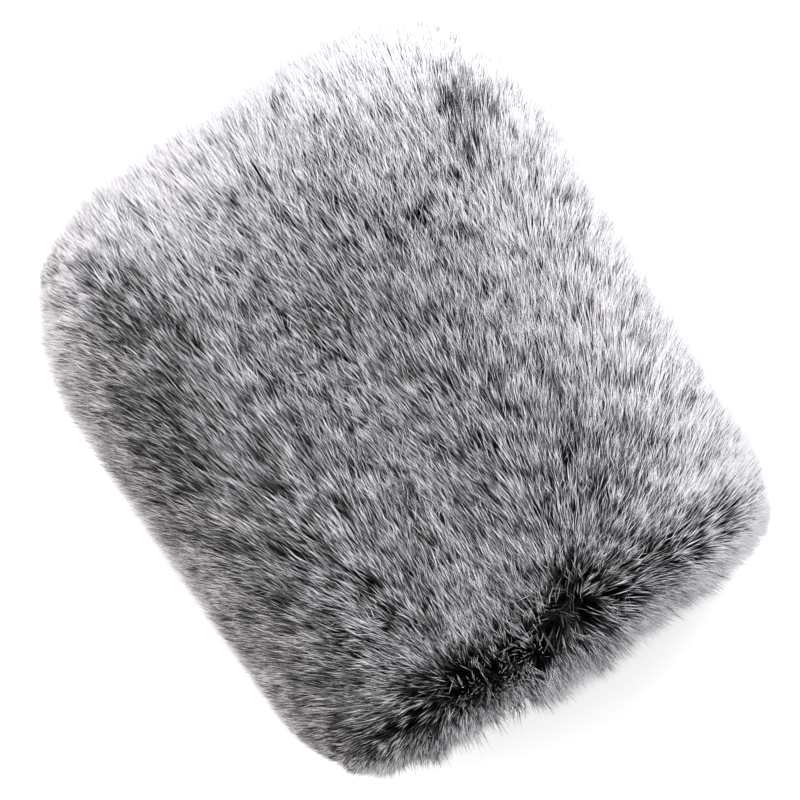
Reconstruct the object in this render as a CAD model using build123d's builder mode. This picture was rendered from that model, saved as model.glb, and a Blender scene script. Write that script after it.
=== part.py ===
"""Furry slip-on windscreen for a hand-held audio recorder.

A boxed jacket of long-pile faux fur is pulled over a laminated foam insert, whose pocket takes the
recorder. The part lies on its back: +Z points out of the front face, +Y runs to the closed crown, and
the mouth faces -Y. The origin is the middle of the footprint, on the surface that the part lies on.
"""

import os

from build123d import *

os.makedirs("parts", exist_ok=True)

# Pocket for a recorder 70 mm wide and 35 mm thick
pocket_width = 72.0
pocket_height = 38.0
pocket_length = 101.6

# Fabric and foam thicknesses
lining_thickness = 0.6
foam_thickness = 6.0
slip_gap = 0.4
backing_thickness = 1.5

# Pile that stands on the backing: round the sides, on the front, and pressed flat underneath
pile_round = 12.5
pile_front = 13.0
pile_under = 8.0

# Foam insert
wall = lining_thickness + foam_thickness
insert_width = pocket_width + 2 * wall
insert_height = pocket_height + 2 * wall
insert_length = pocket_length + wall
insert_edge_radius = foam_thickness - 0.1

# Inside of the jacket
jacket_width = insert_width + 2 * slip_gap
jacket_height = insert_height + 2 * slip_gap
jacket_length = insert_length + 2 * slip_gap
middle_z = pile_under + backing_thickness + jacket_height / 2

# Outer shape of the fur: it narrows a little to the mouth, where the elastic draws it in
half_length = jacket_length / 2 + backing_thickness + pile_round
half_width = jacket_width / 2 + backing_thickness + pile_round
fur_height = middle_z + jacket_height / 2 + backing_thickness + pile_front
mouth_half_width = half_width - 5.0
crown_half_width = half_width + 1.8  # to the sharp corner, which the rounding takes off
crown_corner_radius = 38.0
mouth_corner_radius = 27.0
front_edge_radius = 22.0
back_edge_radius = 11.0

# Mouth: an elastic band in a casing, round a rounded rectangular opening
mouth_width = 75.0
mouth_height = 41.0
mouth_radius = 7.0
casing_thickness = 2.8
casing_depth = 7.2
elastic_thickness = 1.0
elastic_depth = 5.0
stitch_length = 2.2
stitch_width = 0.5
stitch_proud = 0.3
stitch_pitch = 3.2
stitch_inset = 1.6

# Bindings: over the jacket's inner seams, and round the mouth of the insert
seam_leg = 3.0
seam_start = 4.5
binding_thickness = 0.6
binding_depth = 8.0

insert_mouth_y = -insert_length / 2
jacket_mouth_y = -jacket_length / 2
pocket_end_y = insert_length / 2 - wall
foam_inner_width = pocket_width + 2 * lining_thickness
foam_inner_height = pocket_height + 2 * lining_thickness
reach = 40.0  # longer than any pile, so that a wedge leaves nothing out
middle = Plane.XY.offset(middle_z)


def facing(x, y, z, normal, x_dir):
    """A plane at a point measured from the middle of the pocket's height."""
    return Plane(origin=(x, y, middle_z + z), x_dir=x_dir, z_dir=normal)


def mouth_plane(y):
    """A plane across the mouth at y, looking out of it, with its x along the part's x."""
    return facing(0, y, 0, (0, -1, 0), (1, 0, 0))


def wedge(plane, width, height):
    """The space in front of one face of the jacket, out to the mitre with its neighbours."""
    with BuildPart() as space:
        with BuildSketch(plane):
            Rectangle(width, height)
        with BuildSketch(plane.offset(reach)):
            Rectangle(width + 2 * reach, height + 2 * reach)
        loft()
    return space.part


def block(width, length, height, x=0.0, y=0.0, z=0.0):
    """A plain block centred on a point measured from the middle of the pocket's height."""
    with BuildPart(middle) as solid:
        with Locations((x, y, z)):
            Box(width, length, height)
    return solid.part


def ring(y, depth, width, height, radius, thickness):
    """A rounded rectangular band round the mouth's axis, running inwards from y."""
    with BuildPart() as band:
        with BuildSketch(mouth_plane(y)):
            RectangleRounded(width + 2 * thickness, height + 2 * thickness, radius + thickness)
            RectangleRounded(width, height, radius, mode=Mode.SUBTRACT)
        extrude(amount=-depth)
    return band.part


def save(part, name):
    """Labels a finished piece and writes it."""
    part.label = name
    export_step(part, f"parts/{name}.step")


# Outer shape of the whole fur
with BuildPart() as fur:
    with BuildSketch():
        Polygon(
            (-mouth_half_width, -half_length),
            (mouth_half_width, -half_length),
            (crown_half_width, half_length),
            (-crown_half_width, half_length),
            align=None,
        )
        fillet(vertices().group_by(Axis.Y)[-1], radius=crown_corner_radius)
        fillet(vertices().group_by(Axis.Y)[0], radius=mouth_corner_radius)
    extrude(amount=fur_height)
    fillet(faces().sort_by(Axis.Z)[-1].edges(), radius=front_edge_radius)
    fillet(faces().sort_by(Axis.Z)[0].edges(), radius=back_edge_radius)

# Elastic casing round the mouth, with the channel that the elastic runs in
casing_y = jacket_mouth_y - casing_depth
elastic_inset = (casing_thickness - elastic_thickness) / 2
elastic_y = casing_y + (casing_depth - elastic_depth) / 2
casing_body = ring(casing_y, casing_depth, mouth_width, mouth_height, mouth_radius, casing_thickness)

with BuildPart() as mouth_elastic:
    add(
        ring(
            elastic_y,
            elastic_depth,
            mouth_width + 2 * elastic_inset,
            mouth_height + 2 * elastic_inset,
            mouth_radius + elastic_inset,
            elastic_thickness,
        )
    )
save(mouth_elastic.part, "mouth_elastic")

with BuildPart() as mouth_casing:
    add(casing_body)
    add(mouth_elastic.part, mode=Mode.SUBTRACT)
save(mouth_casing.part, "mouth_casing")

# One row of stitches on the straight sides of the casing's inner face
stitch_y = casing_y + casing_depth - stitch_inset
stitch_sides = [
    (facing(0, stitch_y, mouth_height / 2, (0, 0, -1), (1, 0, 0)), mouth_width),
    (facing(0, stitch_y, -mouth_height / 2, (0, 0, 1), (1, 0, 0)), mouth_width),
    (facing(-mouth_width / 2, stitch_y, 0, (1, 0, 0), (0, 0, 1)), mouth_height),
    (facing(mouth_width / 2, stitch_y, 0, (-1, 0, 0), (0, 0, 1)), mouth_height),
]
with BuildPart() as mouth_stitches:
    for side, side_length in stitch_sides:
        count = int((side_length - 2 * mouth_radius) / stitch_pitch)
        with BuildSketch(side):
            with GridLocations(stitch_pitch, 1, count, 1):
                SlotOverall(stitch_length, stitch_width)
        extrude(amount=stitch_proud)
save(mouth_stitches.part, "mouth_stitches")

# Fur panels: each is the fur's outer shape, cut at the mitred seams of the box inside it
half_w, half_l, half_h = jacket_width / 2, jacket_length / 2, jacket_height / 2
fur_faces = {
    "front_fur_panel": (facing(0, 0, half_h, (0, 0, 1), (1, 0, 0)), jacket_width, jacket_length),
    "back_fur_panel": (facing(0, 0, -half_h, (0, 0, -1), (1, 0, 0)), jacket_width, jacket_length),
    "left_fur_gusset": (facing(-half_w, 0, 0, (-1, 0, 0), (0, 1, 0)), jacket_length, jacket_height),
    "right_fur_gusset": (facing(half_w, 0, 0, (1, 0, 0), (0, 1, 0)), jacket_length, jacket_height),
    "crown_fur_gusset": (facing(0, half_l, 0, (0, 1, 0), (1, 0, 0)), jacket_width, jacket_height),
}
for panel_name, face in fur_faces.items():
    with BuildPart() as fur_panel:
        add(fur.part)
        add(wedge(*face), mode=Mode.INTERSECT)
    save(fur_panel.part, panel_name)

with BuildPart() as mouth_fur_panel:
    add(fur.part)
    add(wedge(mouth_plane(-half_l), jacket_width, jacket_height), mode=Mode.INTERSECT)
    with BuildSketch(mouth_plane(-half_length)):
        RectangleRounded(
            mouth_width + 2 * casing_thickness,
            mouth_height + 2 * casing_thickness,
            mouth_radius + casing_thickness,
        )
    extrude(amount=-2 * pile_round, mode=Mode.SUBTRACT)
save(mouth_fur_panel.part, "mouth_fur_panel")

# Bindings over the seams inside the jacket: a triangular roll in each inner corner
seam_length = jacket_length - seam_start
for seam_name, z_side in (("front_seam_binding", 1), ("back_seam_binding", -1)):
    with BuildPart() as seam_binding:
        for x_side in (-1, 1):
            with BuildSketch(facing(0, half_l, 0, (0, -1, 0), (1, 0, 0))):
                with BuildLine():
                    corner = (x_side * half_w, z_side * half_h)
                    Polyline(
                        corner,
                        (corner[0] - x_side * seam_leg, corner[1]),
                        (corner[0], corner[1] - z_side * seam_leg),
                        close=True,
                    )
                make_face()
            extrude(amount=seam_length)
        with BuildSketch(facing(-half_w, 0, 0, (1, 0, 0), (0, 1, 0))):
            with BuildLine():
                Polyline(
                    (half_l, z_side * half_h),
                    (half_l - seam_leg, z_side * half_h),
                    (half_l, z_side * (half_h - seam_leg)),
                    close=True,
                )
            make_face()
        extrude(amount=jacket_width)
    save(seam_binding.part, seam_name)

for seam_name, x_side in (("left_crown_seam_binding", -1), ("right_crown_seam_binding", 1)):
    with BuildPart() as corner_binding:
        with BuildSketch(facing(0, 0, seam_leg - half_h, (0, 0, 1), (1, 0, 0))):
            with BuildLine():
                Polyline(
                    (x_side * half_w, half_l),
                    (x_side * (half_w - seam_leg), half_l),
                    (x_side * half_w, half_l - seam_leg),
                    close=True,
                )
            make_face()
        extrude(amount=jacket_height - 2 * seam_leg)
    save(corner_binding.part, seam_name)

# Binding round the foam at the insert's mouth: an outer leg, the folded edge and an inner leg
with BuildPart() as insert_shape:
    with BuildSketch(mouth_plane(insert_mouth_y)):
        RectangleRounded(insert_width, insert_height, insert_edge_radius)
    extrude(amount=-insert_length)
    fillet(faces().sort_by(Axis.Y)[-1].edges(), radius=insert_edge_radius - 0.1)

with BuildPart() as insert_binding:
    with BuildSketch(mouth_plane(insert_mouth_y)):
        RectangleRounded(insert_width, insert_height, insert_edge_radius)
        Rectangle(pocket_width, pocket_height, mode=Mode.SUBTRACT)
    extrude(amount=-binding_depth)
    with BuildSketch(mouth_plane(insert_mouth_y + binding_thickness)):
        RectangleRounded(
            insert_width - 2 * binding_thickness,
            insert_height - 2 * binding_thickness,
            insert_edge_radius - binding_thickness,
        )
        Rectangle(foam_inner_width, foam_inner_height, mode=Mode.SUBTRACT)
    extrude(amount=-binding_depth, mode=Mode.SUBTRACT)
save(insert_binding.part, "insert_mouth_binding")

# Foam: five pads glued edge to edge, cut from the insert's rounded outer shape
foam_end_y = pocket_end_y + lining_thickness
with BuildPart() as foam_shell:
    add(insert_shape.part)
    add(block(foam_inner_width, 2 * foam_end_y, foam_inner_height), mode=Mode.SUBTRACT)
    add(
        block(foam_inner_width, insert_length / 2, foam_inner_height, y=insert_mouth_y),
        mode=Mode.SUBTRACT,
    )
    add(insert_binding.part, mode=Mode.SUBTRACT)

pad_z = (foam_inner_height + reach) / 2
pad_x = (foam_inner_width + reach) / 2
foam_cuts = {
    "foam_front_pad": block(2 * insert_width, 2 * insert_length, reach, z=pad_z),
    "foam_back_pad": block(2 * insert_width, 2 * insert_length, reach, z=-pad_z),
    "foam_left_pad": block(reach, 2 * insert_length, foam_inner_height, x=-pad_x),
    "foam_right_pad": block(reach, 2 * insert_length, foam_inner_height, x=pad_x),
    "foam_crown_pad": block(
        foam_inner_width, 2 * foam_thickness, foam_inner_height, y=foam_end_y + foam_thickness
    ),
}
for pad_name, cut in foam_cuts.items():
    with BuildPart() as foam_pad:
        add(foam_shell.part)
        add(cut, mode=Mode.INTERSECT)
    save(foam_pad.part, pad_name)

# Lining: thin tricot bonded to the inside of each pad, from the binding to the pocket's end
lining_start_y = insert_mouth_y + binding_depth
lining_length = foam_end_y - lining_start_y
lining_y = (lining_start_y + foam_end_y) / 2
lining_z = (pocket_height + lining_thickness) / 2
lining_x = (pocket_width + lining_thickness) / 2
linings = {
    "lining_front": block(foam_inner_width, lining_length, lining_thickness, y=lining_y, z=lining_z),
    "lining_back": block(foam_inner_width, lining_length, lining_thickness, y=lining_y, z=-lining_z),
    "lining_left": block(lining_thickness, lining_length, pocket_height, x=-lining_x, y=lining_y),
    "lining_right": block(lining_thickness, lining_length, pocket_height, x=lining_x, y=lining_y),
    "lining_crown": block(
        pocket_width, lining_thickness, pocket_height, y=foam_end_y - lining_thickness / 2
    ),
}
for lining_name, sheet in linings.items():
    save(sheet, lining_name)
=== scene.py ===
"""Looks of the furry windscreen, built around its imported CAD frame.

The pile is grown as real strands: tufts of thin closed blades rooted on the knit backing. A strand's
direction is the fabric's outward direction bent along the nap, so the coat parts where the nap does.
Under it are the knit panels, the gathered mouth casing with its elastic, and the foam insert.
Lengths are in metres. Most points are measured from the middle of the jacket.
"""

import math

import bpy
import numpy as np
from mathutils import Matrix, Vector


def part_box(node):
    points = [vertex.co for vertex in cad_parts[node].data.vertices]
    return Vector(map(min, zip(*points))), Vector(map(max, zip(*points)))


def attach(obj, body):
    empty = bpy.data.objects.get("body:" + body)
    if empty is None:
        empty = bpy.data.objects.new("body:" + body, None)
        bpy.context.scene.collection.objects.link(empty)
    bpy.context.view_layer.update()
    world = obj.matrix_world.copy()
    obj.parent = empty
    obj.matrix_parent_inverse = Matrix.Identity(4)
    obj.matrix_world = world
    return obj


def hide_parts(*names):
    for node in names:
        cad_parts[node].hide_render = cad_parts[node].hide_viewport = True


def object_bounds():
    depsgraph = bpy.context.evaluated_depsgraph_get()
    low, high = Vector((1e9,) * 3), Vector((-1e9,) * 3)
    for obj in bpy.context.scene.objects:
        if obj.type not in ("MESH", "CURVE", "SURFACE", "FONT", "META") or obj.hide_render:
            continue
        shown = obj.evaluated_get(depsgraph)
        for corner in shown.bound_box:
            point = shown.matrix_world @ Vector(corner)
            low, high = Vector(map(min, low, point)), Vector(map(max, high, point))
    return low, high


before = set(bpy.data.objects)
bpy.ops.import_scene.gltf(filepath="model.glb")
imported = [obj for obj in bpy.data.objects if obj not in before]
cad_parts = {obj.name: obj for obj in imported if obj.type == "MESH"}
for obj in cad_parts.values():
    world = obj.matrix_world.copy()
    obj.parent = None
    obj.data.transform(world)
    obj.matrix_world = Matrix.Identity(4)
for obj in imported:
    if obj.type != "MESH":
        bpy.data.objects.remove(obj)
cad_low, cad_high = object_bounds()

MM = 0.001
rng = np.random.default_rng(21)

# The jacket's inner box: the seam bindings lie in its corners
seam_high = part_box("front_seam_binding")[1]
seam_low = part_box("back_seam_binding")[0]
inner = np.array([seam_high.x, seam_high.y, (seam_high.z - seam_low.z) / 2])
centre = np.array([0.0, 0.0, (seam_high.z + seam_low.z) / 2])

# Mouth casing and elastic
casing_low, casing_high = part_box("mouth_casing")
elastic_low, elastic_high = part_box("mouth_elastic")
casing_thickness = 2.8 * MM
casing_radius = 7.0 * MM
casing_edge = 1.1 * MM
channel_half_thickness, channel_play, channel_edge = 0.58 * MM, 0.05 * MM, 0.2 * MM
elastic_half_thickness, elastic_edge = 0.5 * MM, 0.15 * MM
rib_height, rib_pitch = 0.05 * MM, 1.1 * MM

# Gathers of the casing: broad folds that drift, small ones that slant, and the pinch at the stitches
gather_pitch, gather_depth = 3.7 * MM, 0.24 * MM
drift_pitch, drift_size = 17 * MM, 1.1
small_pitch, small_slant, small_depth = 1.9 * MM, 400, 0.07 * MM
pinch_width, pinch_depth = 0.6 * MM, 0.16 * MM

# Stitches: bowed threads, sunk in the cloth at their ends
stitch_inset = 1.6 * MM
stitch_pitch = 3.2 * MM
stitch_length = 2.2 * MM
stitch_bow, stitch_sink = 0.30 * MM, 0.22 * MM
stitch_taper = 0.96
casing_thread, binding_thread = 0.24 * MM, 0.16 * MM
binding_stitch_sink = 0.12 * MM

# Insert: its mouth binding and its pocket
binding_low, binding_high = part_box("insert_mouth_binding")
pocket_half_width = -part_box("lining_left")[1].x
pocket_half_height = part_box("lining_front")[0].z - centre[2]
tape = 0.6 * MM
fold_depth = 0.25 * MM
insert_radius = 5.9 * MM
pocket_radius, inner_leg_radius = 0.4 * MM, 0.9 * MM
lining_edge, lining_gap = 0.03 * MM, 0.12 * MM
lining_relief, lining_wave = 0.11 * MM, 12 * MM

# Knit backing
backing = 1.5 * MM
backing_radius = 2.4 * MM
knit_reach = 0.9985
knit_inner_radius = 0.3 * MM
knit_relief, knit_wave = 0.12 * MM, 9 * MM
ring_corner = 0.9 * MM
ring_start, ring_end = 0.004, 0.985

# Outer shape of the pile: a tapered box, wider at the crown, with rounded corners and edges
pile_half_length = cad_high.y
mouth_fringe = 2.0 * MM
pile_top = cad_high.z - centre[2]
pile_bottom = -centre[2]
mouth_half_width, crown_half_width = 52.0 * MM, 58.8 * MM
mouth_corner, left_mouth_corner = 25.0 * MM, 32.0 * MM
crown_corner, left_crown_corner = 38.0 * MM, 40.0 * MM
top_edge, bottom_edge = 22.0 * MM, 11.0 * MM

# Pile
pile_length = 17 * MM
tuft_spacing = 0.82 * MM
strands_per_tuft = 5
strand_radius = 0.08 * MM
strand_waist, root_width = 0.62, 0.9
thinnest, thickest = 0.75, 1.25
max_strands = 16000
fan_radius = 11.0 * MM
mouth_fan_radius = 3.0 * MM
casing_clearance = 0.35 * MM

# How close the tufts stand on a side, and how much closer by its edges, against one per spacing squared
usual_crowding = (1.0, 0.8)
crowding = {"mouth": (4.6, 0.0), "back": (0.35, 0.5)}

# How far a strand leans along the nap at its root and its tip, and stands up at its tip
root_lean, tip_lean = 0.22, 0.74
tip_rise, mouth_tip_rise = 0.60, 0.35

# How much a strand strays: with its neighbourhood, its tuft, the crease and on its own
wide_stray, near_stray, tuft_stray, crease_stray = 0.07, 0.07, 0.14, 0.20
root_stray, own_root_stray, own_tip_stray, last_stray = 0.4, 0.06, 0.07, 0.03
wide_wave, near_wave, tone_wave = 34 * MM, 5 * MM, 7 * MM

# Lengths: of a tuft, of its strands, and where the coat faces the mouth or lies by the crease
near_length, tuft_length, mouth_length, crease_length = 0.05, 0.07, 0.35, 0.18
shortest_strand, longest_strand = 0.70, 1.06
least_share = 0.2
tuft_spread, tip_gather = 0.34 * MM, 0.20 * MM
ragged_edge, edge_reach = 1.1 * MM, 0.8 * MM

# Tone of a strand, from 0 dark to 1 silver
middle_tone, near_tone, tuft_tone, strand_tone, dark_tone = 0.5, 0.05, 0.16, 0.07, 0.6
least_tone, most_tone = 0.02, 0.98
blade_tone = 0.006
map_margin = 0.01
tone_reach = 0.5
# Painted light and shade in the tone: lighter at the crown and down the right where the key light falls,
# lighter on the sides and most at the mouth end, and darker to the left and toward the mouth as painted
# shade
crown_painted_light, right_painted_light, side_painted_light, mouth_end_painted_light = 0.28, 0.25, 0.11, 0.5
left_painted_shade, mouth_painted_shade = 0.12, 0.03

# Where along each half of the jacket the painted light (crown, right) and the painted shade (mouth, left)
# begin, as a share of the way from its middle
crown_start, right_start, mouth_start, left_start = 0.25, 0.25, 0.1, 0.5

# How far the normal faces up where the side's painted light begins and is full, and where the front's fan
# does
side_start, side_full = 0.75, 0.15
fan_start, fan_full = 0.15, 0.65
end_slope, end_offset = 1.4, 0.2

# The surface that the part lies on presses strands outwards
floor_gap = 0.15 * MM
press_out, press_left = 0.55, 0.12

# The coat parts along a crease on its front, near the mouth, and the nap fans out from there
crease_left, crease_right = -19 * MM, 6 * MM
crease_base, crease_rise = -57.2 * MM, 5.2 * MM
crease_peak, crease_width = 10 * MM, 16 * MM
crease_reach = 5 * MM
tangle_middle, tangle_half_length = -7 * MM, 22 * MM
tangled_share = 0.14
fan_share, wide_turn = 0.85, 1.4
mouth_flare = 0.15
mouth_flatness = 1.6
crown_droop = 0.35

# Where tufts stay dark on the front, in millimetres: x, y, radius and share of the tufts
partings = [
    (-38, 43, 9, 0.55),
    (44, 42, 8, 0.85),
    (39, 36, 8, 0.55),
    (-42, 27, 8, 0.42),
    (-44, 13, 8, 0.45),
    (-31, -57, 9, 0.75),
    (-15, -59, 9, 0.55),
    (4, -54, 6, 0.36),
]


# ---------------------------------------------------------------- small helpers


def unit(v):
    """Rows of v at length one."""
    return v / np.maximum(np.linalg.norm(v, axis=-1, keepdims=True), 1e-12)


def smooth(t):
    """Smooth step of t, held to 0 and 1."""
    t = np.clip(t, 0, 1)
    return t * t * (3 - 2 * t)


class Waves:
    """A smooth random field of three numbers at each point, as a sum of sine waves."""

    sizes = 0.7, 1.5

    def __init__(self, wavelength, seed, count=14):
        own = np.random.default_rng(seed)
        direction = unit(own.normal(size=(count, 3)))
        size = own.uniform(*self.sizes, size=(count, 1))
        self.k = direction * size * (2 * math.pi / wavelength)
        self.phase = own.uniform(0, 2 * math.pi, size=(3, count))

    def __call__(self, points):
        angle = points @ self.k.T
        parts = [np.sin(angle + phase).sum(axis=1) for phase in self.phase]
        return np.stack(parts, axis=1) / math.sqrt(len(self.k) / 2)


def outward(vertices, faces):
    """The same faces of a closed surface, turned so that they look outwards."""
    corner = vertices[faces]
    last = corner.shape[1] - 1
    volume = 0.0
    for i in range(1, last):
        volume += (corner[:, 0] * np.cross(corner[:, i], corner[:, i + 1])).sum()
    return faces if volume > 0 else faces[:, ::-1]


def make_piece(name, vertices, faces):
    """A smooth mesh object of these points, measured from the middle of the jacket."""
    mesh = bpy.data.meshes.new(name)
    mesh.from_pydata((vertices + centre).tolist(), [], faces.tolist())
    mesh.polygons.foreach_set("use_smooth", np.ones(len(mesh.polygons), bool))
    piece = bpy.data.objects.new(name, mesh)
    bpy.context.scene.collection.objects.link(piece)
    return piece


def finish_piece(piece, material, slot, body, *nodes):
    """Gives a piece its material and the body it moves with, and hides the CAD nodes it stands for; the slot
    is not used.
    """
    piece.data.materials.clear()
    piece.data.materials.append(material)
    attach(piece, body)
    if nodes:
        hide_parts(*nodes)
    return piece


# ---------------------------------------------------------------- materials


def new_material(name, colour, roughness):
    material = bpy.data.materials.new(name)
    material.use_nodes = True
    shader = material.node_tree.nodes["Principled BSDF"]
    shader.inputs["Base Color"].default_value = (*colour, 1)
    shader.inputs["Roughness"].default_value = roughness
    return material, material.node_tree.nodes, material.node_tree.links, shader


def ramp_node(nodes, stops):
    """A colour ramp with these (place, colour) stops."""
    ramp = nodes.new("ShaderNodeValToRGB")
    elements = ramp.color_ramp.elements
    while len(elements) < len(stops):
        elements.new(0.5)
    for element, (place, colour) in zip(elements, stops):
        element.position = place
        element.color = (*colour, 1)
    return ramp


def math_node(nodes, operation, *constants):
    """A math node with these (input, value) constants."""
    node = nodes.new("ShaderNodeMath")
    node.operation = operation
    for place, value in constants:
        node.inputs[place].default_value = value
    return node


def fur_material():
    """Black at the root, silver at the tip. The tone of a strand sets how far down the silver reaches."""
    material, nodes, links, shader = new_material("silver_fur", (0.5, 0.5, 0.5), 0.5)
    shader.inputs["Specular IOR Level"].default_value = 0.3
    uv = nodes.new("ShaderNodeUVMap")
    uv.uv_map = "OFBake"
    split = nodes.new("ShaderNodeSeparateXYZ")
    links.new(uv.outputs["UV"], split.inputs["Vector"])
    reach = math_node(nodes, "MULTIPLY_ADD", (1, tone_reach))
    links.new(split.outputs["X"], reach.inputs[0])
    links.new(split.outputs["Y"], reach.inputs[2])
    scale = math_node(nodes, "MULTIPLY", (1, 1 / (1 + tone_reach)))
    links.new(reach.outputs["Value"], scale.inputs[0])
    ramp = ramp_node(
        nodes,
        [
            (0.0, (0.004, 0.004, 0.005)),
            (0.62, (0.010, 0.010, 0.012)),
            (0.70, (0.16, 0.158, 0.168)),
            (0.77, (0.71, 0.698, 0.735)),
            (1.0, (0.86, 0.845, 0.88)),
        ],
    )
    links.new(scale.outputs["Value"], ramp.inputs["Fac"])
    links.new(ramp.outputs["Color"], shader.inputs["Base Color"])
    return material


def cloth_material(name, dark, pale, roughness, scale, strength, texture):
    """A matt cloth or foam: a fine texture raised as bumps and seen as a change of tone."""
    material, nodes, links, shader = new_material(name, pale, roughness)
    shader.inputs["Specular IOR Level"].default_value = 0.25
    place = nodes.new("ShaderNodeTexCoord")
    pattern = nodes.new(texture)
    pattern.inputs["Scale"].default_value = scale
    links.new(place.outputs["Object"], pattern.inputs["Vector"])
    output = pattern.outputs["Distance" if texture == "ShaderNodeTexVoronoi" else "Fac"]
    ramp = ramp_node(nodes, [(0.1, dark), (0.8, pale)])
    links.new(output, ramp.inputs["Fac"])
    links.new(ramp.outputs["Color"], shader.inputs["Base Color"])
    bump = nodes.new("ShaderNodeBump")
    bump.inputs["Strength"].default_value = strength
    bump.inputs["Distance"].default_value = 0.2 * MM
    links.new(output, bump.inputs["Height"])
    links.new(bump.outputs["Normal"], shader.inputs["Normal"])
    return material


fur = fur_material()
jersey = cloth_material(
    "black_jersey", (0.006, 0.006, 0.007), (0.022, 0.022, 0.025), 0.9, 1500, 0.6, "ShaderNodeTexVoronoi"
)
foam = cloth_material(
    "charcoal_foam", (0.055, 0.055, 0.060), (0.020, 0.020, 0.022), 0.95, 1300, 0.9, "ShaderNodeTexVoronoi"
)
tricot = cloth_material(
    "black_tricot", (0.008, 0.008, 0.010), (0.030, 0.030, 0.034), 0.7, 700, 0.35, "ShaderNodeTexWave"
)
tape_cloth = cloth_material(
    "black_tape", (0.008, 0.008, 0.009), (0.035, 0.035, 0.038), 0.75, 480, 0.5, "ShaderNodeTexWave"
)
elastic_cloth = cloth_material(
    "black_elastic", (0.010, 0.010, 0.010), (0.030, 0.030, 0.030), 0.6, 900, 0.4, "ShaderNodeTexWave"
)
thread = cloth_material(
    "grey_thread", (0.10, 0.10, 0.11), (0.30, 0.30, 0.32), 0.6, 2600, 0.5, "ShaderNodeTexWave"
)


# ---------------------------------------------------------------- the jacket's six sides

# Each side's axis and direction
sides = {
    "front": (2, 1),
    "back": (2, -1),
    "left": (0, -1),
    "right": (0, 1),
    "crown": (1, 1),
    "mouth": (1, -1),
}
nodes_of = {
    "front": "front_fur_panel",
    "back": "back_fur_panel",
    "left": "left_fur_gusset",
    "right": "right_fur_gusset",
    "crown": "crown_fur_gusset",
    "mouth": "mouth_fur_panel",
}


def on_side(side, u, v, out):
    """Points on one side of a box that stands out from the inner box, at u and v from -1 to 1."""
    axis, sign = sides[side]
    half = inner + out
    first, second = (a for a in range(3) if a != axis)
    points = np.empty((len(u), 3))
    points[:, axis] = sign * half[axis]
    points[:, first] = u * half[first]
    points[:, second] = v * half[second]
    return points


def rounded(points, out, radius, mouth_radius):
    """Points of that box moved in to its rounded edges, and the outward direction at each."""
    radii = np.tile([radius] * 3, (len(points), 1))
    radii[:, 1] = np.where(points[:, 1] > 0, radius, mouth_radius)
    core = inner + out - radii
    near = points.clip(-core, core)
    direction = unit((points - near) / radii)
    return near + direction * radii, direction


def rounded_rectangle(t, half_width, half_height, radius):
    """Points and outward normals round a rounded rectangle. Corners take the same share of t at any size."""
    straight_share = 0.7
    quarter = np.floor(t * 4).astype(int) % 4
    local = t * 4 - np.floor(t * 4)
    even = quarter % 2 == 0
    reach = np.where(even, half_width, half_height)
    half_run = np.where(even, half_height, half_width) - radius
    run = np.clip(local / straight_share, 0, 1)
    angle = np.clip((local - straight_share) / (1 - straight_share), 0, 1) * math.pi / 2
    a = reach - radius + radius * np.cos(angle)
    b = half_run * (2 * run - 1) + radius * np.sin(angle)
    turn = quarter * math.pi / 2
    flat = np.stack([a * np.cos(turn) - b * np.sin(turn), a * np.sin(turn) + b * np.cos(turn)], axis=1)
    normal = np.stack([np.cos(turn + angle), np.sin(turn + angle)], axis=1)
    return flat, normal


def off_casing(points):
    """How far each point of the mouth side lies outside the casing's outline."""
    half = np.array([casing_high.x, casing_high.z - centre[2]])
    radius = casing_radius + casing_thickness
    over = np.abs(points[:, [0, 2]]) - half + radius
    return np.linalg.norm(np.maximum(over, 0), axis=1) + np.minimum(over.max(axis=1), 0) - radius


def slab_faces(rows, columns):
    """Faces of a closed slab: a grid of points, then the same grid again for its other face."""
    index = np.arange(rows * columns).reshape(rows, columns)
    top = np.stack([index[:-1, :-1], index[1:, :-1], index[1:, 1:], index[:-1, 1:]], axis=-1).reshape(-1, 4)
    bottom = top[:, ::-1] + rows * columns
    rim = np.concatenate([index[0, :], index[1:, -1], index[-1, -2::-1], index[-2:0:-1, 0]])
    after = np.roll(rim, -1)
    wall = np.stack([rim, after, after + rows * columns, rim + rows * columns], axis=1)
    return np.concatenate([top, bottom, wall])


def ring_faces(around, across):
    """Faces of a closed ring: its section, of that many points, repeated round it."""
    index = np.arange(around * across).reshape(around, across)
    ahead = np.roll(index, -1, axis=0)
    faces = np.stack([index, ahead, np.roll(ahead, -1, axis=1), np.roll(index, -1, axis=1)], axis=-1)
    return faces.reshape(-1, 4)


# ---------------------------------------------------------------- knit panels


def knit_panel(side):
    """A panel of the knit backing, mitred to its neighbours, with a slightly uneven inner face."""
    rows, columns = 56, 48
    spans = (np.linspace(-knit_reach, knit_reach, count) for count in (rows, columns))
    u, v = (grid.ravel() for grid in np.meshgrid(*spans, indexing="ij"))
    outer, _ = rounded(on_side(side, u, v, backing), backing, backing_radius, backing_radius)
    lining, out = rounded(on_side(side, u, v, 0), 0, knit_inner_radius, knit_inner_radius)
    lining += out * knit_relief * (1 + Waves(knit_wave, seed=31)(lining)[:, :1]).clip(0, 2)
    vertices = np.concatenate([outer, lining])
    faces = slab_faces(rows, columns)
    return make_piece(f"{side}_knit", vertices, outward(vertices, faces))


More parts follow.
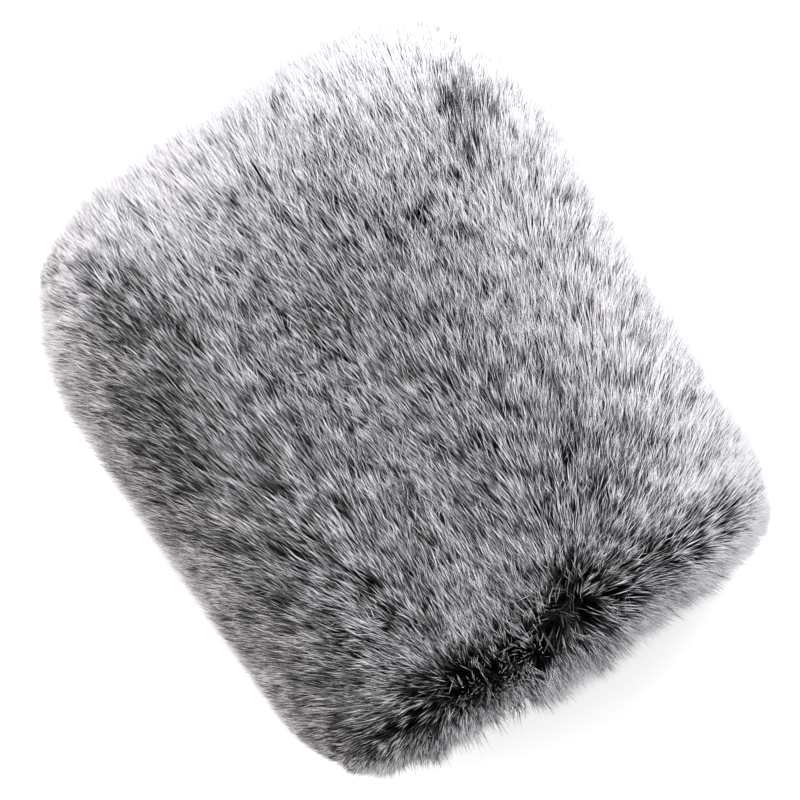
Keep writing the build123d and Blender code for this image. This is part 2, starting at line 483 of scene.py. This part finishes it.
def knit_mouth():
    """The knit ring between the jacket's edge and the casing."""
    around, radial = 240, 6
    t = np.arange(around) / around
    outer, _ = rounded_rectangle(t, inner[0] + backing, inner[2] + backing, ring_corner)
    hole_radius = casing_radius + casing_thickness
    hole, _ = rounded_rectangle(t, casing_high.x, casing_high.z - centre[2], hole_radius)
    edge, _ = rounded_rectangle(t, inner[0], inner[2], ring_corner)
    share = np.linspace(ring_start, ring_end, radial)[None, :, None]
    flat = outer[:, None] * (1 - share) + hole[:, None] * share
    front = np.stack([flat[..., 0], np.full(flat.shape[:2], -inner[1] - backing), flat[..., 1]], axis=-1)
    front = rounded(front.reshape(-1, 3), backing, backing_radius, backing_radius)[0]
    front = front.reshape(around, radial, 3)
    back_flat = edge[:, None] * (1 - share[:, ::-1]) + hole[:, None] * share[:, ::-1]
    back_y = np.full(flat.shape[:2], -inner[1])
    back = np.stack([back_flat[..., 0], back_y, back_flat[..., 1]], axis=-1)
    vertices = np.concatenate([front, back], axis=1).reshape(-1, 3)
    return make_piece("mouth_knit", vertices, outward(vertices, ring_faces(around, 2 * radial)))


# ---------------------------------------------------------------- pile


def outside(points):
    """Signed distance of each point from the outer shape of the pile, above zero outside it."""
    x, y, z = points[:, 0], points[:, 1], points[:, 2]
    share = (y + pile_half_length) / (2 * pile_half_length)
    half_width = mouth_half_width + (crown_half_width - mouth_half_width) * share
    crown = np.where(x < 0, left_crown_corner, crown_corner)
    corner = np.where(y > 0, crown, np.where(x < 0, left_mouth_corner, mouth_corner))
    half_length = pile_half_length + np.where(y < 0, mouth_fringe, 0)
    across = np.stack([np.abs(x) - half_width, np.abs(y) - half_length], axis=1) + corner[:, None]
    plan = np.linalg.norm(np.maximum(across, 0), axis=1) + np.minimum(across.max(axis=1), 0) - corner
    edge = np.where(z > 0, top_edge, bottom_edge)
    over = np.stack([plan, np.where(z > 0, z - pile_top, pile_bottom - z)], axis=1) + edge[:, None]
    return np.linalg.norm(np.maximum(over, 0), axis=1) + np.minimum(over.max(axis=1), 0) - edge


def share_inside(root, tip, margin):
    """How much of each strand fits in the outer shape of the pile, less a margin."""
    fits, too_long = np.full(len(root), least_share), np.ones(len(root))
    halvings = 8
    for _ in range(halvings):
        half = (fits + too_long) / 2
        beyond = outside(root + (tip - root) * half[:, None]) > -margin
        fits = np.where(beyond, fits, half)
        too_long = np.where(beyond, half, too_long)
    return np.where(outside(tip) > -margin, fits, 1.0)[:, None]


def roots_on(side):
    """Places of the tufts on a side, from -1 to 1 both ways. They stand closer where the coat fans."""
    axis, _ = sides[side]
    first, second = (inner[a] for a in range(3) if a != axis)
    closeness, rim_closeness = crowding.get(side, usual_crowding)
    per_area = 1 / tuft_spacing**2
    n = int(4 * first * second * per_area * closeness)
    u, v = rng.uniform(-1, 1, n), rng.uniform(-1, 1, n)
    for k, (along, across) in enumerate(((first, second), (second, first))):
        m = int(4 * along * fan_radius * per_area * rim_closeness)
        run = rng.uniform(-1, 1, m)
        rim = rng.choice([-1, 1], m) * (1 - rng.random(m) * fan_radius / across)
        u = np.concatenate([u, run if k == 0 else rim])
        v = np.concatenate([v, rim if k == 0 else run])
    return u, v


def ahead_of_crease(points):
    """How far each point lies from the crease toward the crown."""
    bump = np.exp(-(((points[:, 0] - crease_peak) / crease_width) ** 2))
    return points[:, 1] - crease_base - crease_rise * bump


def near_crease(points):
    """One on the crease, falling to nothing beyond its reach and past its two ends."""
    past_end = np.maximum(np.abs(points[:, 0] - tangle_middle) - tangle_half_length, 0)
    return np.exp(-(ahead_of_crease(points) ** 2 + past_end**2) / crease_reach**2)


def end_on(facing):
    """From 0 on the flat of the coat to 1 where it faces that end."""
    return smooth(facing * end_slope - end_offset)


def comb(points, normals):
    """The nap: it fans out from the crease on the front, runs to the crown elsewhere, and hangs there."""
    nap = np.array([0.0, 1.0, 0.0]) - normals * normals[:, 1:2]
    beside = points[:, 0] - points[:, 0].clip(crease_left, crease_right)
    turn = np.arctan2(beside, ahead_of_crease(points))
    turn *= fan_share + (1 - fan_share) * smooth(np.abs(turn) - wide_turn)
    tangled = rng.random(len(points)) < tangled_share * near_crease(points)
    turn += tangled * rng.uniform(-math.pi, math.pi, len(points))
    turn *= smooth((normals[:, 2] - fan_start) / (fan_full - fan_start))
    across = np.cross(nap, normals)
    combed = nap * np.cos(turn)[:, None] + across * np.sin(turn)[:, None]
    from_axis = unit(points * np.array([1.0, 0.0, mouth_flatness]))
    combed += mouth_flare * from_axis * smooth(-normals[:, 1:2])
    combed[:, 2] -= crown_droop * end_on(normals[:, 1])
    return combed


def parting(tips):
    """The share of the tufts that stay dark where each tip lies."""
    dark = np.zeros(len(tips))
    for x, y, radius, strength in partings:
        away = np.linalg.norm(tips[:, :2] - np.array([x, y]) * MM, axis=1) / (radius * MM)
        dark = np.maximum(dark, strength * np.exp(-away * away))
    return dark * (tips[:, 2] > 0)


def toward(share, start):
    """From 0 at the start share of the way from the middle to an end of the jacket, to 1 at that end."""
    return smooth((share - start) / (1 - start))


def painted_light_tone(points, normals):
    """Painted light in the tone at each root, as more silver: most at the crown, down the right and on the
    sides; painted shade, as less silver, to the left and toward the mouth.
    """
    right, ahead = points[:, 0] / inner[0], points[:, 1] / inner[1]
    silver = crown_painted_light * toward(ahead, crown_start) + right_painted_light * toward(right, right_start)
    silver -= left_painted_shade * toward(-right, left_start) + mouth_painted_shade * toward(-ahead, mouth_start)
    on_edge = smooth((side_start - normals[:, 2]) / (side_start - side_full))
    return silver + side_painted_light * (on_edge + mouth_end_painted_light * end_on(-normals[:, 1]))


def grow(side):
    """Root, control point and tip of every strand on a side, with a tone for each."""
    u, v = roots_on(side)
    box_points = on_side(side, u, v, backing)
    if side == "mouth":
        box_points = box_points[off_casing(box_points) > casing_clearance]
    points, _ = rounded(box_points, backing, backing_radius, backing_radius)
    _, normals = rounded(box_points, backing, fan_radius, mouth_fan_radius)
    nap = comb(points, normals)

    n, k = len(points), strands_per_tuft
    wide, near = Waves(wide_wave, seed=3), Waves(near_wave, seed=5)
    stray = wide_stray * wide(points) + near_stray * near(points) + tuft_stray * rng.normal(size=(n, 3))
    faces_mouth = smooth(-normals[:, 1:2])
    ruffle = near_crease(points)[:, None] * (1 - faces_mouth)
    stray += crease_stray * ruffle * rng.normal(size=(n, 3))
    start = unit(normals + root_lean * nap + root_stray * stray)
    end = unit((tip_rise + mouth_tip_rise * faces_mouth) * normals + tip_lean * nap + stray)
    length = pile_length * (1 + near_length * near(points)[:, :1] + tuft_length * rng.normal(size=(n, 1)))
    length *= 1 + mouth_length * faces_mouth - crease_length * ruffle
    tone = middle_tone + near_tone * Waves(tone_wave, seed=8)(points)[:, 0]
    # Painted light and shade join the tone here: lighter at the crown, down the right and on the sides,
    # darker to the left and toward the mouth
    tone += tuft_tone * rng.normal(size=n) + painted_light_tone(points, normals)
    tone -= dark_tone * (rng.random(n) < parting(points + (start + end) * length * 0.5))

    points, normals, start, end, length, tone = (
        np.repeat(a, k, axis=0) for a in (points, normals, start, end, length, tone)
    )
    spread = rng.normal(size=(n * k, 3))
    spread -= normals * (spread * normals).sum(axis=1, keepdims=True)
    loose = rng.normal(size=(n * k, 3))
    length *= rng.uniform(shortest_strand, longest_strand, size=(n * k, 1))
    root = points + spread * tuft_spread
    control = root + unit(start + own_root_stray * loose) * length * 0.5
    end += own_tip_stray * loose + last_stray * rng.normal(size=(n * k, 3))
    tip = control + unit(end) * length * 0.5 - spread * tip_gather
    margin = rng.exponential(ragged_edge, size=n * k) - edge_reach
    share = share_inside(root, tip, margin)
    tone = np.clip(tone + strand_tone * rng.normal(size=n * k), least_tone, most_tone)
    return root, root + (control - root) * share, root + (tip - root) * share, tone


def lay_on_floor(points):
    """Keeps strands above the surface that the part lies on, pressed out sideways where they meet it."""
    depth = np.maximum(pile_bottom + floor_gap - points[..., 2], 0)
    away = unit(points[..., :2])
    points[..., :2] += away * (press_out * depth)[..., None]
    pressed = pile_bottom + floor_gap + press_left * depth
    points[..., 2] = np.where(depth > 0, pressed, points[..., 2])
    return points


def strand_mesh(name, root, control, tip, tone):
    """One mesh of closed three-sided blades along the strands, with root-to-tip in its OFBake map."""
    n = len(root)
    share = np.array([0.0, strand_waist])
    width = np.array([root_width, 1.0])
    rings = len(share)
    t = share[None, :, None]
    middle = root[:, None] * (1 - t) ** 2 + 2 * control[:, None] * t * (1 - t) + tip[:, None] * t**2
    along = unit((control - root)[:, None] * (1 - t) + (tip - control)[:, None] * t)
    u = unit(np.cross(along, unit(rng.normal(size=(n, 1, 3)))))
    v = np.cross(along, u)
    around = np.array([0, 2, 4]) * math.pi / 3
    reach = strand_radius * rng.uniform(thinnest, thickest, size=(n, 1, 1, 1)) * width[None, :, None, None]
    circle = u[:, :, None] * np.cos(around)[None, None, :, None]
    circle = circle + v[:, :, None] * np.sin(around)[None, None, :, None]
    body = lay_on_floor(middle[:, :, None] + reach * circle).reshape(n, rings * 3, 3)
    points = np.concatenate([body, lay_on_floor(tip.copy())[:, None]], axis=1)
    per = rings * 3 + 1

    walls = [[a, (a + 1) % 3, 3 + (a + 1) % 3, 3 + a] for a in range(3)]
    caps = [[3 + a, 3 + (a + 1) % 3, per - 1] for a in range(3)] + [[2, 1, 0]]
    pattern = np.array(sum(walls + caps, []))
    sizes = np.array([4] * len(walls) + [3] * len(caps))
    starts = np.concatenate([[0], np.cumsum(sizes)[:-1]])
    loops = len(pattern)
    index = (np.arange(n)[:, None] * per + pattern[None, :]).ravel()
    loop_start = (np.arange(n)[:, None] * loops + starts[None, :]).ravel()

    mesh = bpy.data.meshes.new(name)
    mesh.vertices.add(n * per)
    mesh.vertices.foreach_set("co", (points + centre).astype(np.float32).ravel())
    mesh.loops.add(n * loops)
    mesh.loops.foreach_set("vertex_index", index.astype(np.int32))
    mesh.polygons.add(n * len(sizes))
    mesh.polygons.foreach_set("loop_start", loop_start.astype(np.int32))
    mesh.polygons.foreach_set("use_smooth", np.ones(n * len(sizes), bool))
    height = np.concatenate([np.repeat(share, 3), [1.0]])
    offset = np.concatenate([np.tile([-blade_tone, 0.0, blade_tone], rings), [0.0]])
    uv = np.empty((n, loops, 2), np.float32)
    uv[:, :, 0] = tone[:, None] + offset[pattern][None, :]
    uv[:, :, 1] = map_margin + (1 - 2 * map_margin) * height[pattern][None, :]
    layer = mesh.uv_layers.new(name="OFBake")
    layer.uv.foreach_set("vector", uv.ravel())
    mesh.update(calc_edges=True)
    piece = bpy.data.objects.new(name, mesh)
    bpy.context.scene.collection.objects.link(piece)
    return piece


def grow_pile(side):
    """The pile of a side, in pieces of a bounded number of strands."""
    strands = grow(side)
    order = rng.permutation(len(strands[0]))
    count = math.ceil(len(order) / max_strands)
    pieces = []
    for i, chosen in enumerate(np.array_split(order, count)):
        piece = strand_mesh(f"{side}_pile_{i + 1}", *(part[chosen] for part in strands))
        pieces.append(finish_piece(piece, fur, "silver_fur", "jacket", nodes_of[side]))
    return pieces


def make_jacket():
    width, length, height = 2 * (inner + backing)
    flats = {
        "front": (width, length),
        "back": (width, length),
        "left": (length, height),
        "right": (length, height),
        "crown": (width, height),
    }
    for side, flat in flats.items():
        panel = finish_piece(knit_panel(side), jersey, "black_jersey", "jacket", nodes_of[side])
        grow_pile(side)
    ring = finish_piece(knit_mouth(), jersey, "black_jersey", "jacket", nodes_of["mouth"])
    grow_pile("mouth")


make_jacket()


# ---------------------------------------------------------------- mouth casing, elastic and stitches

casing_half = np.array([casing_high.x, casing_high.z - centre[2]]) - casing_thickness / 2
casing_mid_radius = casing_radius + casing_thickness / 2
casing_mid_y = (casing_low.y + casing_high.y) / 2
casing_half_depth = (casing_high.y - casing_low.y) / 2
stitch_y = casing_high.y - stitch_inset


def round_mouth(t):
    """Points of the casing's middle line in the plane of the mouth, their normals and the length run."""
    line, normal = rounded_rectangle(t, casing_half[0], casing_half[1], casing_mid_radius)
    step = np.linalg.norm(np.diff(line, axis=0, append=line[:1]), axis=1)
    return line, normal, np.concatenate([[0], np.cumsum(step)[:-1]])


def gathers(run, y):
    """How far the gathered cloth lies in from its fullest, at a length round the mouth and a depth."""
    drift = drift_size * np.sin(2 * math.pi * run / drift_pitch)
    folds = np.sin(2 * math.pi * run / gather_pitch + drift)
    small = np.sin(2 * math.pi * run / small_pitch + small_slant * y)
    pinch = np.exp(-(((y - stitch_y) / pinch_width) ** 2))
    return gather_depth * (1 + folds) / 2 + small_depth * (1 + small) / 2 + pinch_depth * pinch


def swept(line, normal, section, moved):
    """Points of a ring whose section has (outward, along y) places, each moved in by a distance."""
    (out, along), (out_normal, along_normal) = section
    shift_out = out[None, :] - moved * out_normal[None, :]
    shift_y = along[None, :] - moved * along_normal[None, :]
    points = np.empty((len(line), len(out), 3))
    points[..., 0] = line[:, None, 0] + normal[:, None, 0] * shift_out
    points[..., 2] = line[:, None, 1] + normal[:, None, 1] * shift_out
    points[..., 1] = casing_mid_y + shift_y
    return points.reshape(-1, 3)


def band_section(half_thickness, half_depth, radius, count):
    flat, normal = rounded_rectangle(np.arange(count) / count, half_thickness, half_depth, radius)
    return flat.T, normal.T


def make_casing():
    """The casing: gathered cloth outside, and the channel that the elastic runs in."""
    around, across = 960, 28
    line, normal, run = round_mouth(np.arange(around) / around)
    section = band_section(casing_thickness / 2, casing_half_depth, casing_edge, across)
    moved = gathers(run[:, None], casing_mid_y + section[0][1][None, :])
    cloth = swept(line, normal, section, moved)
    channel_half = (elastic_high.y - elastic_low.y) / 2 + channel_play
    channel_section = band_section(channel_half_thickness, channel_half, channel_edge, across)
    channel = swept(line, normal, channel_section, np.zeros((around, across)))
    faces = ring_faces(around, across)
    cloth_faces = outward(cloth, faces)
    channel_faces = outward(channel, faces)[:, ::-1] + len(cloth)
    vertices = np.concatenate([cloth, channel])
    piece = make_piece("gathered_casing", vertices, np.concatenate([cloth_faces, channel_faces]))
    return finish_piece(piece, jersey, "black_jersey", "jacket", "mouth_casing")


def make_elastic():
    """A woven elastic band with fine cross ribs."""
    around, across = 900, 16
    line, normal, run = round_mouth(np.arange(around) / around)
    half_depth = (elastic_high.y - elastic_low.y) / 2
    section = band_section(elastic_half_thickness, half_depth, elastic_edge, across)
    ribs = rib_height * (1 + np.sin(2 * math.pi * run / rib_pitch))
    vertices = swept(line, normal, section, np.tile(ribs[:, None] / 2, (1, across)))
    piece = make_piece("ribbed_elastic", vertices, outward(vertices, ring_faces(around, across)))
    return finish_piece(piece, elastic_cloth, "black_elastic", "jacket", "mouth_elastic")


def thread_loops(name, places, ways, outs, radius, body, *nodes):
    """Stitches: short bowed threads at these places, lying along ways and bulging along outs."""
    rings, points_round = 7, 6
    s = np.linspace(-1, 1, rings)
    angle = np.arange(points_round) * 2 * math.pi / points_round
    side = unit(np.cross(ways, outs))
    bow = stitch_bow * (1 - s * s) - stitch_sink
    own_radius = radius * np.sqrt(1 - (stitch_taper * s) ** 2)
    middle = places[:, None] + ways[:, None] * (s * stitch_length / 2)[None, :, None]
    middle = middle + outs[:, None] * bow[None, :, None]
    circle = side[:, None, None] * np.cos(angle)[None, None, :, None]
    circle = circle + outs[:, None, None] * np.sin(angle)[None, None, :, None]
    vertices = (middle[:, :, None] + circle * own_radius[None, :, None, None]).reshape(-1, 3)
    index = np.arange(rings * points_round).reshape(rings, points_round)
    ahead = np.roll(index, -1, axis=1)
    walls = np.stack([index[:-1], index[1:], ahead[1:], ahead[:-1]], axis=-1).reshape(-1, 4).tolist()
    one = walls + [index[0].tolist(), index[-1, ::-1].tolist()]
    faces = [[v + i * rings * points_round for v in face] for i in range(len(places)) for face in one]
    mesh = bpy.data.meshes.new(name)
    mesh.from_pydata((vertices + centre).tolist(), [], faces)
    mesh.polygons.foreach_set("use_smooth", np.ones(len(faces), bool))
    piece = bpy.data.objects.new(name, mesh)
    bpy.context.scene.collection.objects.link(piece)
    return finish_piece(piece, thread, "grey_thread", body, *nodes)


def make_mouth_stitches():
    """A row of stitches on the straight sides of the casing's inner face, sunk in the gathers."""
    steps, nearly_straight = 4000, 0.9999
    fine_t = np.arange(steps) / steps
    line, normal, run = round_mouth(fine_t)
    straight = np.abs(normal).max(axis=1) > nearly_straight
    chosen = []
    for turn in range(4):
        on_turn = np.nonzero(straight & (np.floor(fine_t * 4) == turn))[0]
        side_run = run[on_turn]
        count = int((side_run[-1] - side_run[0]) / stitch_pitch)
        start = (side_run[0] + side_run[-1] - (count - 1) * stitch_pitch) / 2
        wanted = start + stitch_pitch * np.arange(count)
        chosen.append(on_turn[np.abs(side_run[None, :] - wanted[:, None]).argmin(axis=1)])
    chosen = np.concatenate(chosen)
    in_from = casing_thickness / 2 - gathers(run[chosen], np.full(len(chosen), stitch_y))
    flat = line[chosen] - normal[chosen] * in_from[:, None]
    places = np.stack([flat[:, 0], np.full(len(chosen), stitch_y), flat[:, 1]], axis=1)
    zero = np.zeros(len(chosen))
    outs = -np.stack([normal[chosen, 0], zero, normal[chosen, 1]], axis=1)
    ways = np.stack([-normal[chosen, 1], zero, normal[chosen, 0]], axis=1)
    return thread_loops("casing_stitches", places, ways, outs, casing_thread, "jacket", "mouth_stitches")


casing = make_casing()
make_elastic()
make_mouth_stitches()


# ---------------------------------------------------------------- pieces worked from the CAD's own shapes

# Voxel size, then the depth and spacing of the pits
tape_work = (0.35 * MM, 0.12 * MM, 1.6 * MM)
foam_work = (0.65 * MM, 0.34 * MM, 1.9 * MM)

# Where a pit begins in the random field, over what rise it deepens, and the grain's share of its depth
pit_start, pit_rise, grain_share = 0.1, 1.3, 0.15


def worked(node, name, voxel, pit, wavelength, seed):
    """The node's shape in small even faces, with pits of that depth and spacing sunk in its surface."""
    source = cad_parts[node]
    shaped = bpy.data.objects.new(name, source.data.copy())
    bpy.context.scene.collection.objects.link(shaped)
    shaped.matrix_world = source.matrix_world.copy()
    modifier = shaped.modifiers.new("even", "REMESH")
    modifier.mode = "VOXEL"
    modifier.voxel_size = voxel
    graph = bpy.context.evaluated_depsgraph_get()
    mesh = bpy.data.meshes.new_from_object(shaped.evaluated_get(graph))
    mesh.transform(shaped.matrix_world)
    bpy.data.objects.remove(shaped)
    count = len(mesh.vertices)
    places, normals = np.empty(count * 3, np.float32), np.empty(count * 3, np.float32)
    mesh.vertices.foreach_get("co", places)
    mesh.vertices.foreach_get("normal", normals)
    places = places.reshape(-1, 3).astype(float)
    field = Waves(wavelength, seed, count=24)(places)
    sunk = smooth((field[:, 0] - pit_start) / pit_rise) * pit
    sunk += np.abs(field[:, 1]) * grain_share * pit
    places -= normals.reshape(-1, 3) * sunk[:, None]
    mesh.vertices.foreach_set("co", places.astype(np.float32).ravel())
    mesh.polygons.foreach_set("use_smooth", np.ones(len(mesh.polygons), bool))
    mesh.update()
    mesh.name = name
    piece = bpy.data.objects.new(name, mesh)
    bpy.context.scene.collection.objects.link(piece)
    return piece


seams = ["front_seam_binding", "back_seam_binding", "left_crown_seam_binding", "right_crown_seam_binding"]
for i, node in enumerate(seams):
    tape_roll = worked(node, node.replace("_binding", "_tape"), *tape_work, seed=50 + i)
    finish_piece(tape_roll, tape_cloth, "black_tape", "jacket", node)

for i, side in enumerate(("front", "back", "left", "right", "crown")):
    node = f"foam_{side}_pad"
    pad = worked(node, f"{side}_foam", *foam_work, seed=70 + i)
    finish_piece(pad, foam, "charcoal_foam", "insert", node)


# ---------------------------------------------------------------- lining and binding of the insert


def make_lining(side):
    """A bonded sheet of tricot: flat where it is glued, a little uneven where it faces the pocket."""
    node = f"lining_{side}"
    low, high = (np.array(corner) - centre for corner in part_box(node))
    axis, sign = sides[side]
    first, second = (a for a in range(3) if a != axis)
    rows, columns = 70, 60
    a, b = np.meshgrid(
        np.linspace(low[first] + lining_edge, high[first] - lining_edge, rows),
        np.linspace(low[second] + lining_edge, high[second] - lining_edge, columns),
        indexing="ij",
    )
    glued = np.empty((rows * columns, 3))
    glued[:, first], glued[:, second] = a.ravel(), b.ravel()
    glued[:, axis] = high[axis] if sign > 0 else low[axis]
    shown = glued.copy()
    relief = Waves(lining_wave, seed=90 + axis)(glued)[:, 0].clip(-1, 1) * lining_relief
    shown[:, axis] -= sign * (high[axis] - low[axis] - lining_gap + relief)
    vertices = np.concatenate([glued, shown])
    piece = make_piece(f"{side}_lining", vertices, outward(vertices, slab_faces(rows, columns)))
    finish_piece(piece, tricot, "black_tricot", "insert", node)


def make_insert_binding():
    """A folded tape over the foam's cut edge: an outer leg, the fold and an inner leg."""
    around = 560
    t = np.arange(around) / around
    low, high = np.array(binding_low) - centre, np.array(binding_high) - centre
    half_width, half_height = high[0], high[2]
    front, back = low[1], high[1]
    outer, outer_normal = rounded_rectangle(t, half_width, half_height, insert_radius)
    pocket, _ = rounded_rectangle(t, pocket_half_width, pocket_half_height, pocket_radius)
    outer_in, _ = rounded_rectangle(t, half_width - tape, half_height - tape, insert_radius - tape)
    out_width, out_height = pocket_half_width + tape, pocket_half_height + tape
    pocket_out, _ = rounded_rectangle(t, out_width, out_height, inner_leg_radius)
    leg = np.linspace(0, 1, 8)
    fold = leg[1:-1]
    loops, depths = [], []
    for share in leg:
        loops.append(outer)
        depths.append(back + (front + fold_depth - back) * share)
    for share in fold:
        loops.append(outer * (1 - share) + pocket * share)
        depths.append(front)
    for share in leg:
        loops.append(pocket)
        depths.append(front + fold_depth + (back - front - fold_depth) * share)
    for share in leg:
        loops.append(pocket_out)
        depths.append(back + (front + tape - back) * share)
    for share in leg:
        loops.append(outer_in)
        depths.append(front + tape + (back - front - tape) * share)
    flat = np.stack(loops, axis=1)
    vertices = np.empty((around, len(loops), 3))
    vertices[..., 0], vertices[..., 2] = flat[..., 0], flat[..., 1]
    vertices[..., 1] = np.array(depths)[None, :]
    vertices = vertices.reshape(-1, 3)
    piece = make_piece("insert_tape", vertices, outward(vertices, ring_faces(around, len(loops))))
    finish_piece(piece, tape_cloth, "black_tape", "insert", "insert_mouth_binding")
    stitches = make_binding_stitches(outer, outer_normal, back)


def make_binding_stitches(outer, normal, back):
    """Stitches round the outer leg of the insert's binding."""
    step = np.linalg.norm(np.diff(outer, axis=0, append=outer[:1]), axis=1)
    run = np.concatenate([[0], np.cumsum(step)[:-1]])
    count = int(step.sum() / stitch_pitch)
    wanted = np.arange(count) * step.sum() / count
    chosen = np.abs(run[None, :] - wanted[:, None]).argmin(axis=1)
    zero = np.zeros(count)
    y = np.full(count, back - stitch_inset)
    places = np.stack([outer[chosen, 0], y, outer[chosen, 1]], axis=1)
    outs = np.stack([normal[chosen, 0], zero, normal[chosen, 1]], axis=1)
    places -= outs * binding_stitch_sink
    ways = np.stack([-normal[chosen, 1], zero, normal[chosen, 0]], axis=1)
    return thread_loops("binding_stitches", places, ways, outs, binding_thread, "insert")


for side in ("front", "back", "left", "right", "crown"):
    make_lining(side)
make_insert_binding()


# ---------------------------------------------------------------- camera and stage

camera_tilt = math.radians(4)
camera_roll = math.radians(33)
camera_distance = 0.62
picture_width = 0.1615
sensor_width = 36
middle = Vector(centre)

floor_half_size, floor_white, sky_strength = 3.0, 0.96, 1.5

# Lights: how far right, up and toward the camera each stands from the middle, then its size and power
key_place, key_size, key_power = (0.02, 0.75, 0.65), 1.0, 10.5
fill_place, fill_size, fill_power = (-0.80, -0.25, 0.12), 0.6, 3
key_colour, fill_colour = (1.0, 0.985, 0.99), (1.0, 0.84, 0.72)


def make_camera():
    """A camera over the front, tilted to the mouth and turned about its own axis. Returns its axes."""
    nearer = Vector((0, -math.sin(camera_tilt), math.cos(camera_tilt)))
    right = Vector((math.cos(camera_roll), -math.sin(camera_roll), 0))
    right = (right - nearer * right.dot(nearer)).normalized()
    up = nearer.cross(right)
    data = bpy.data.cameras.new("camera")
    data.sensor_width = sensor_width
    data.lens = sensor_width * camera_distance / picture_width
    data.clip_end = 10
    camera = bpy.data.objects.new("camera", data)
    bpy.context.scene.collection.objects.link(camera)
    axes = Matrix((right, up, nearer)).transposed()
    camera.matrix_world = Matrix.Translation(middle + nearer * camera_distance) @ axes.to_4x4()
    bpy.context.scene.camera = camera
    return axes


def area_light(name, place, size, power, colour):
    """A round light that looks at the middle of the jacket."""
    data = bpy.data.lights.new(name, "AREA")
    data.shape = "DISK"
    data.size = size
    data.energy = power
    data.color = colour
    light = bpy.data.objects.new(name, data)
    light.location = place
    light.rotation_euler = (middle - Vector(place)).to_track_quat("-Z", "Y").to_euler()
    bpy.context.scene.collection.objects.link(light)


def make_stage(axes):
    """A white floor under even light, with a soft key from the crown and a faint warm fill."""
    mesh = bpy.data.meshes.new("floor")
    size = floor_half_size
    corners = [(-size, -size, 0), (size, -size, 0), (size, size, 0), (-size, size, 0)]
    mesh.from_pydata(corners, [], [(0, 1, 2, 3)])
    floor = bpy.data.objects.new("floor", mesh)
    bpy.context.scene.collection.objects.link(floor)
    mesh.materials.append(new_material("floor", (floor_white, floor_white, floor_white), 0.9)[0])
    world = bpy.data.worlds.new("studio")
    world.use_nodes = True
    sky = world.node_tree.nodes["Background"]
    sky.inputs["Color"].default_value = (1, 1, 1, 1)
    sky.inputs["Strength"].default_value = sky_strength
    bpy.context.scene.world = world
    bpy.context.scene.view_settings.view_transform = "Standard"
    area_light("key", middle + axes @ Vector(key_place), key_size, key_power, key_colour)
    area_light("warm_fill", middle + axes @ Vector(fill_place), fill_size, fill_power, fill_colour)


make_stage(make_camera())
